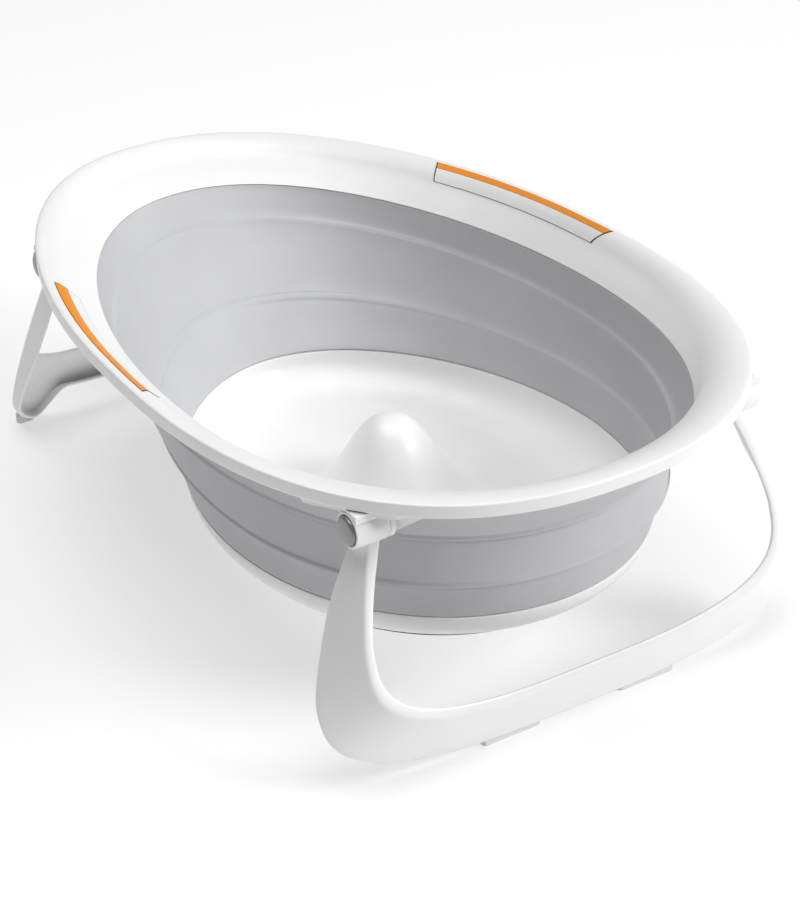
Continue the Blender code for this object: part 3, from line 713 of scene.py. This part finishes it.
def rim_surface(angle, share):
    """A point on the flange's top and its normal: share runs from the lip, 0, past the crest, 1."""

    def at(angle, share):
        """The subdivided flange is a cubic B-spline through its outlines."""
        i = max(k for k in range(len(FLANGE_MARKS) - 1) if k == 0 or FLANGE_MARKS[k] < share)
        t = (share - FLANGE_MARKS[i]) / (FLANGE_MARKS[i + 1] - FLANGE_MARKS[i])
        weights = ((1 - t) ** 3, 3 * t**3 - 6 * t**2 + 4, -3 * t**3 + 3 * t**2 + 3 * t + 1, t**3)
        around = RIM_TOP[FLANGE_START + i - 1:FLANGE_START + i + 3]
        return sum((egg_point(s, angle) * w / 6 for s, w in zip(around, weights)), Vector())

    point = at(angle, share)
    along = at(angle + 0.002, share) - at(angle - 0.002, share)
    inward = at(angle, share + 0.01) - at(angle, share - 0.01)
    normal = along.cross(inward).normalized()
    return point, normal if normal.z > 0 else -normal


def sticker(name, angles, shares, lift, material):
    """A thin skin that follows the flange between two angles and two shares."""
    columns, rows = 48, 8
    shape = bmesh.new()
    grids = []
    for height in (lift, lift - STICKER_THICKNESS):
        grid = []
        for i in range(columns + 1):
            angle = angles[0] + (angles[1] - angles[0]) * i / columns
            line = []
            for j in range(rows + 1):
                share = shares[0] + (shares[1] - shares[0]) * j / rows
                point, normal = rim_surface(angle, share)
                line.append(shape.verts.new(point + normal * height))
            grid.append(line)
        grids.append(grid)
    top, under = grids
    for grid in grids:
        for i in range(columns):
            for j in range(rows):
                shape.faces.new((grid[i][j], grid[i + 1][j], grid[i + 1][j + 1], grid[i][j + 1]))
    for i in range(columns):
        for j in (0, rows):
            shape.faces.new((top[i][j], top[i + 1][j], under[i + 1][j], under[i][j]))
    for j in range(rows):
        for i in (0, columns):
            shape.faces.new((top[i][j], top[i][j + 1], under[i][j + 1], under[i][j]))
    piece = new_object(name, mesh_of(shape, name, 40), material)
    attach(piece, "root")


def make_label(name, angles, shares, stripe_share):
    """A blank label: a dark border, an orange stripe on the lip's side and a white panel."""
    edge = math.copysign(BORDER_ANGLE, angles[1] - angles[0])
    rim_side, bath_side = shares
    stripe = rim_side + (bath_side - rim_side) * stripe_share
    inner_angles = (angles[0] + edge, angles[1] - edge)
    stripe_shares = (rim_side + BORDER_SHARE, stripe)
    panel_shares = (stripe + BORDER_SHARE, bath_side - BORDER_SHARE)
    sticker(name + "_border", angles, shares, BORDER_LIFT, LABEL_LINE)
    sticker(name + "_stripe", inner_angles, stripe_shares, FACE_LIFT, ORANGE)
    sticker(name + "_panel", inner_angles, panel_shares, FACE_LIFT, LABEL_WHITE)


# ---- CAD pieces that keep their shape ----
def finish_node(node, material, width):
    """Gives a CAD piece its material and softens its edges."""
    obj = frame["nodes"][node]
    for slot in obj.material_slots:
        slot.material = material
    if not obj.material_slots:
        obj.data.materials.append(material)
    modifier = obj.modifiers.new("edges", "BEVEL")
    modifier.width = width
    modifier.segments = 3
    modifier.limit_method = "ANGLE"
    modifier.angle_limit = math.radians(40)
    modifier.harden_normals = True


def finish_nodes():
    for label in LEGS:
        for side in ("left", "right"):
            tag = f"{label}_{side}"
            finish_node("hinge_bracket_" + tag, WHITE, 0.0006)
            finish_node("pivot_pin_" + tag, STEEL, 0.0003)
            finish_node("lock_gear_" + tag, STEEL, 0.0002)
            finish_node(f"{label}_foot_pad_{side}", PAD_RUBBER, 0.0008)
            finish_node("button_spring_" + tag, STEEL, 0.0001)
            for index in (1, 2):
                finish_node(f"bracket_screw_{tag}_{index}", STEEL, 0.0003)
    finish_node("drain_plug", PLUG_RUBBER, 0.0003)


# ---- stage ----
FLOOR_HALF_SIDE = 12.0
FLOOR_DROP = 0.0004          # keeps the floor clear of the foot pads
CAMERA_AZIMUTH = 0.9872
CAMERA_ELEVATION = 0.5364
CAMERA_OVER_RIM = 0.8965


def make_stage():
    shape = bmesh.new()
    bmesh.ops.create_grid(shape, x_segments=1, y_segments=1, size=FLOOR_HALF_SIDE)
    floor_material, _, shader = new_material("pale_floor")
    shader.inputs["Base Color"].default_value = (0.50, 0.50, 0.50, 1)
    shader.inputs["Roughness"].default_value = 0.9
    shader.inputs["Emission Color"].default_value = (1.0, 1.0, 1.0, 1)
    shader.inputs["Emission Strength"].default_value = 0.51
    floor = new_object("studio_floor", mesh_of(shape, "studio_floor"), floor_material)
    floor.location = (0, 0, -FLOOR_DROP)

    world = bpy.data.worlds.new("studio")
    world.use_nodes = True
    background = world.node_tree.nodes["Background"]
    background.inputs["Color"].default_value = (1.0, 1.0, 1.0, 1)
    background.inputs["Strength"].default_value = 0.05
    bpy.context.scene.world = world
    bpy.context.scene.view_settings.view_transform = "Standard"

    def area(name, place, target, size, power_w):
        data = bpy.data.lights.new(name, "AREA")
        data.shape = "DISK"
        data.size = size
        data.energy = power_w
        light = bpy.data.objects.new(name, data)
        light.location = place
        aim = Vector(target) - Vector(place)
        light.rotation_euler = aim.to_track_quat("-Z", "Y").to_euler()
        bpy.context.scene.collection.objects.link(light)

    area("key", (3.6, 3.6, 3.2), (0, 0, 0.15), 3.0, 262)
    area("top", (-0.2, -0.3, 3.6), (0, 0, 0.1), 3.0, 94)


def make_camera():
    data = bpy.data.cameras.new("camera")
    data.sensor_width = 36.0
    data.lens = 103.80
    camera = bpy.data.objects.new("camera", data)
    camera.location = (1.4868, -0.9389, RIM_HEIGHT + CAMERA_OVER_RIM)
    camera.rotation_euler = (math.pi / 2 - CAMERA_ELEVATION, 0, CAMERA_AZIMUTH)
    bpy.context.scene.collection.objects.link(camera)
    bpy.context.scene.camera = camera


make_camera()
make_stage()
make_rim()
make_wall()
make_base()
for leg_label, leg_values in LEGS.items():
    make_leg(leg_label, leg_values)
finish_nodes()
make_label("far_label", (2.005, 1.47), (0.20, 0.98), 0.40)
make_label("near_label", (-1.945, -1.405), (0.38, 1.20), 0.50)
